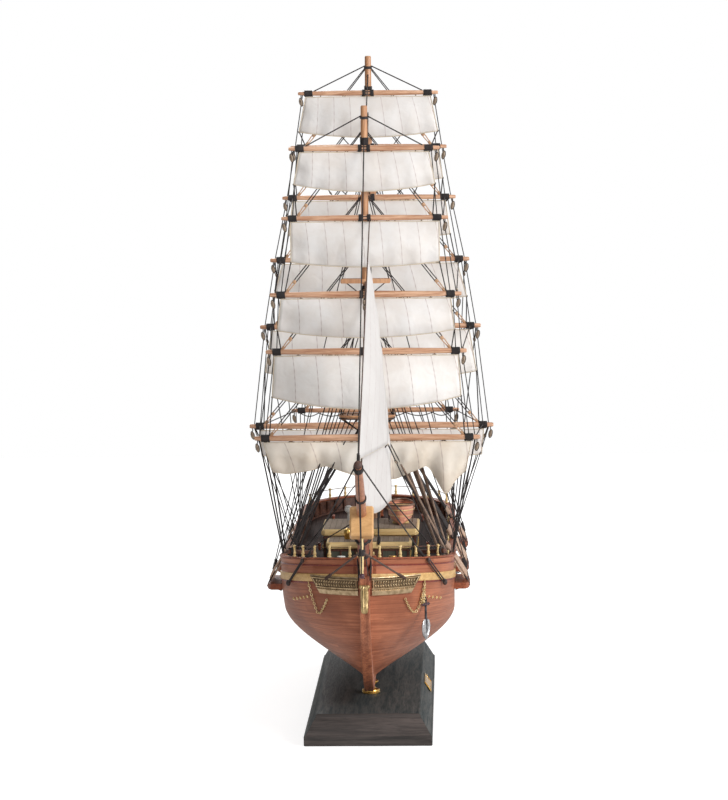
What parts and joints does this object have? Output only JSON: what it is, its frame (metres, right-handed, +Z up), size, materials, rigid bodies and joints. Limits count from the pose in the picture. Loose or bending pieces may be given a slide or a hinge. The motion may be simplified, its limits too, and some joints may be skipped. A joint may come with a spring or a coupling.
{
  "type": "tall ship display model",
  "caption": "Wooden display model of a full-rigged sailing ship with square sails, jibs and spanker, standing on brass pedestals on a dark plinth.",
  "frame": {"origin": "centre of the plinth's underside, on the surface that the model stands on", "axes": "+Z up, the bow points to -Y, port is +X"},
  "size_m": [0.213, 0.7295, 0.566],
  "materials": {
    "hull_planks": "varnished red-brown mahogany strips",
    "rail_wood": "varnished mahogany",
    "boxwood": "pale yellow satin boxwood",
    "spar_wood": "satin light brown round stock",
    "plinth_wood": "dark stained gloss",
    "brass": "polished",
    "gilt_brass": "gilt casting",
    "old_brass": "antique brass casting",
    "pewter": "grey cast metal",
    "canvas": "off-white cotton sailcloth with sewn seams"
  },
  "bodies": {
    "ship": {"plinth": "plinth_wood", "plinth_plate": "brass", "fore_pedestal": "brass", "aft_pedestal": "brass", "hull": "hull_planks", "keel": "hull_planks", "cap_rail": "rail_wood", "bow_railing_port": "boxwood", "bow_railing_starboard": "boxwood", "stern_railing": "boxwood", "bowsprit": "rail_wood", "bowsprit_cap": "boxwood", "jibboom": "spar_wood", "dolphin_striker": "boxwood", "stem_ornament": "gilt_brass", "name_board_port": "old_brass", "name_board_starboard": "old_brass", "fore_lower_mast": "spar_wood", "fore_topmast": "spar_wood", "fore_topgallant_mast": "spar_wood", "main_lower_mast": "spar_wood", "main_topmast": "spar_wood", "main_topgallant_mast": "spar_wood", "mizzen_lower_mast": "spar_wood", "mizzen_topmast": "spar_wood", "mizzen_topgallant_mast": "spar_wood", "fore_course_sail": "canvas", "fore_lower_topsail_sail": "canvas", "fore_upper_topsail_sail": "canvas", "fore_topgallant_sail": "canvas", "fore_royal_sail": "canvas", "main_course_sail": "canvas", "main_lower_topsail_sail": "canvas", "main_upper_topsail_sail": "canvas", "main_topgallant_sail": "canvas", "main_royal_sail": "canvas", "main_skysail_sail": "canvas", "mizzen_lower_topsail_sail": "canvas", "mizzen_upper_topsail_sail": "canvas", "mizzen_topgallant_sail": "canvas", "mizzen_royal_sail": "canvas", "outer_jib": "canvas", "inner_jib": "canvas", "fore_house": "boxwood", "main_house": "boxwood", "boat_port": "hull_planks", "main_hatch": "boxwood", "cabin": "boxwood", "windlass": "rail_wood", "binnacle": "brass", "wheel_stand": "rail_wood", "anchor": "pewter"},
    "rudder_body": {"rudder": "hull_planks"},
    "wheel_body": {"steering_wheel": "rail_wood"},
    "spanker_body": {"spanker_boom": "spar_wood", "spanker_gaff": "spar_wood", "spanker_sail": "canvas"}
  },
  "joints": [
    {"name": "rudder_hinge", "type": "hinge", "parent": "ship", "child": "rudder_body", "pos_m": [0, 0.2442, 0.066], "axis": [0, 0, 1], "range_deg": [-35, 35]},
    {"name": "wheel_axle", "type": "hinge", "parent": "ship", "child": "wheel_body", "pos_m": [0, 0.228, 0.1605], "axis": [0, 1, 0], "continuous": true},
    {"name": "spanker_swing", "type": "hinge", "parent": "ship", "child": "spanker_body", "pos_m": [0, 0.15, 0.2], "axis": [0, 0, 1], "range_deg": [-25, 25]}
  ]
}
